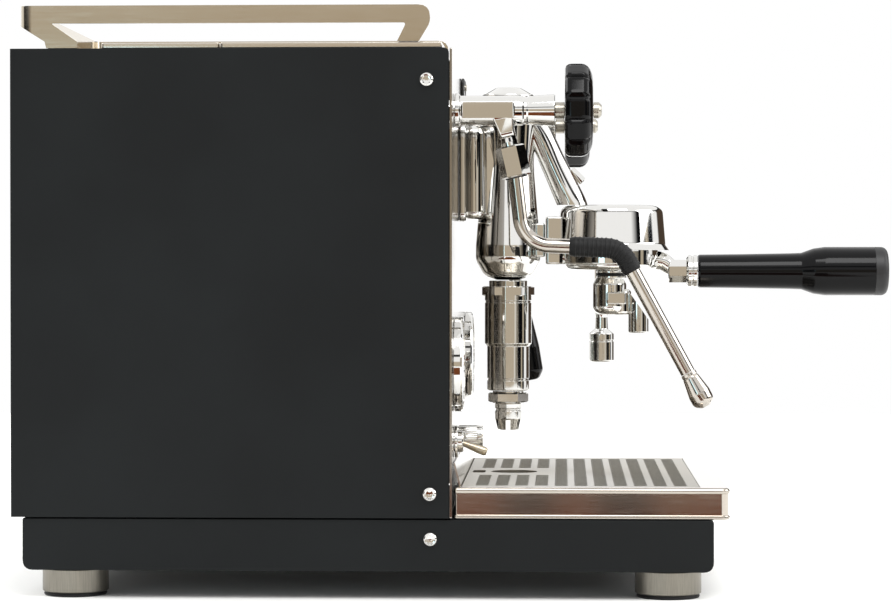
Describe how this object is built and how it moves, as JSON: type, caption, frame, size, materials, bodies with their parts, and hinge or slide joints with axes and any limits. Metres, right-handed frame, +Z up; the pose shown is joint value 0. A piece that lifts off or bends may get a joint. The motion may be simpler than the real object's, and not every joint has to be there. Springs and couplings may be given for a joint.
{
  "type": "espresso machine",
  "caption": "Home espresso machine with a lever-operated brew group, portafilter, steam and hot-water wands, slide-out drip tray, pressure gauges and a railed cup warmer.",
  "frame": {"origin": "centre of the bounding box on the worktop, under the machine", "axes": "+Z up, the front with the brew group faces -Y, +X to the right as seen from the front"},
  "size_m": [0.3058, 0.5954, 0.3912],
  "materials": {
    "panel_black": "matt powder coat",
    "polished_steel": "polished stainless steel",
    "brushed_steel": "brushed stainless steel",
    "chrome": "bright chrome plate",
    "gloss_black": "gloss",
    "matt_plastic": "matt",
    "black_rubber": "matt",
    "gauge_glass": "clear",
    "copper_boiler": "satin",
    "tank_plastic": "translucent"
  },
  "bodies": {
    "machine": {"base_frame": "panel_black", "left_side_panel": "panel_black", "right_side_panel": "panel_black", "rear_panel": "panel_black", "front_panel": "polished_steel", "top_cover": "polished_steel", "cup_rail": "polished_steel", "foot_front_left": "brushed_steel", "foot_front_right": "brushed_steel", "foot_rear_left": "brushed_steel", "foot_rear_right": "brushed_steel", "pump": "brushed_steel", "left_panel_screw_high": "chrome", "left_panel_screw_low": "chrome", "right_panel_screw_high": "chrome", "right_panel_screw_low": "chrome", "boiler_gauge_case": "chrome", "pump_gauge_case": "chrome", "power_switch_bush": "chrome", "group_body": "chrome", "group_bell": "chrome", "group_cap": "chrome", "infusion_chamber": "chrome", "drain_nozzle": "chrome", "shower_screen": "chrome", "steam_valve_body": "chrome", "steam_joint_nut": "chrome", "water_valve_body": "chrome", "water_joint_nut": "chrome", "controller_bezel": "gloss_black", "power_inlet": "matt_plastic", "group_gasket": "black_rubber", "boiler_gauge_glass": "gauge_glass", "pump_gauge_glass": "gauge_glass", "boiler": "copper_boiler", "water_tank": "tank_plastic"},
    "steam_knob": {"steam_spindle": "brushed_steel", "steam_knob": "gloss_black"},
    "water_knob": {"water_spindle": "brushed_steel", "water_knob": "gloss_black"},
    "steam_wand": {"steam_wand": "chrome", "steam_grip": "black_rubber", "steam_tip": "chrome"},
    "water_wand": {"water_wand": "chrome", "water_tip": "chrome"},
    "brew_lever": {"brew_lever": "chrome", "brew_lever_grip": "gloss_black"},
    "portafilter": {"portafilter_body": "chrome", "portafilter_handle": "gloss_black", "filter_basket": "brushed_steel", "portafilter_spout": "chrome"},
    "drip_tray": {"drip_tray": "polished_steel"},
    "drip_grate": {"drip_grate": "brushed_steel"},
    "tank_lid": {"tank_lid": "polished_steel"},
    "boiler_gauge_needle": {"boiler_gauge_needle": "gloss_black"},
    "pump_gauge_needle": {"pump_gauge_needle": "gloss_black"},
    "power_switch": {"power_switch_toggle": "brushed_steel"},
    "selector": {"selector_knob": "chrome"},
    "controller_button_up": {"controller_button_up": "brushed_steel"},
    "controller_button_down": {"controller_button_down": "brushed_steel"}
  },
  "joints": [
    {"name": "steam_valve_turn", "type": "hinge", "parent": "machine", "child": "steam_knob", "pos_m": [-0.105, -0.0809, 0.324], "axis": [0, -1, 0], "range_deg": [0, 540]},
    {"name": "water_valve_turn", "type": "hinge", "parent": "machine", "child": "water_knob", "pos_m": [0.105, -0.0809, 0.324], "axis": [0, -1, 0], "range_deg": [0, 540]},
    {"name": "steam_wand_swing", "type": "hinge", "parent": "machine", "child": "steam_wand", "pos_m": [-0.105, -0.03672, 0.2869], "axis": [0, 0.2164, 0.9763], "range_deg": [-90, 20]},
    {"name": "water_wand_swing", "type": "hinge", "parent": "machine", "child": "water_wand", "pos_m": [0.105, -0.03672, 0.2869], "axis": [0, 0.2164, 0.9763], "range_deg": [-20, 90]},
    {"name": "brew_lever_lift", "type": "hinge", "parent": "machine", "child": "brew_lever", "pos_m": [0.03, -0.0309, 0.238], "axis": [-1, 0, 0], "range_deg": [0, 60]},
    {"name": "portafilter_twist", "type": "hinge", "parent": "machine", "child": "portafilter", "pos_m": [0, -0.1039, 0.228], "axis": [0, 0, -1], "range_deg": [0, 45]},
    {"name": "drip_tray_slide", "type": "slide", "parent": "machine", "child": "drip_tray", "axis": [0, -1, 0], "range_m": [0, 0.18]},
    {"name": "drip_grate_lift", "type": "slide", "parent": "drip_tray", "child": "drip_grate", "axis": [0, 0, 1], "range_m": [0, 0.015]},
    {"name": "tank_lid_lift", "type": "slide", "parent": "machine", "child": "tank_lid", "axis": [0, 0, 1], "range_m": [0, 0.05]},
    {"name": "boiler_gauge_turn", "type": "hinge", "parent": "machine", "child": "boiler_gauge_needle", "pos_m": [-0.103, 0.0011, 0.154], "axis": [0, 1, 0], "range_deg": [0, 270], "stiffness_Nm_per_rad": 0.0004, "springref_deg": -17.19},
    {"name": "pump_gauge_turn", "type": "hinge", "parent": "machine", "child": "pump_gauge_needle", "pos_m": [0.103, 0.0011, 0.154], "axis": [0, 1, 0], "range_deg": [0, 270], "stiffness_Nm_per_rad": 0.0004, "springref_deg": -17.19},
    {"name": "power_switch_flip", "type": "hinge", "parent": "machine", "child": "power_switch", "pos_m": [-0.105, 0.0011, 0.102], "axis": [-1, 0, 0], "range_deg": [0, 40]},
    {"name": "selector_turn", "type": "hinge", "parent": "machine", "child": "selector", "pos_m": [-0.062, -0.0049, 0.103], "axis": [0, 1, 0], "range_deg": [0, 90]},
    {"name": "controller_up_press", "type": "slide", "parent": "machine", "child": "controller_button_up", "axis": [0, 1, 0], "range_m": [0, 0.0008], "stiffness_N_per_m": 250, "springref_m": -0.0006},
    {"name": "controller_down_press", "type": "slide", "parent": "machine", "child": "controller_button_down", "axis": [0, 1, 0], "range_m": [0, 0.0008], "stiffness_N_per_m": 250, "springref_m": -0.0006}
  ]
}
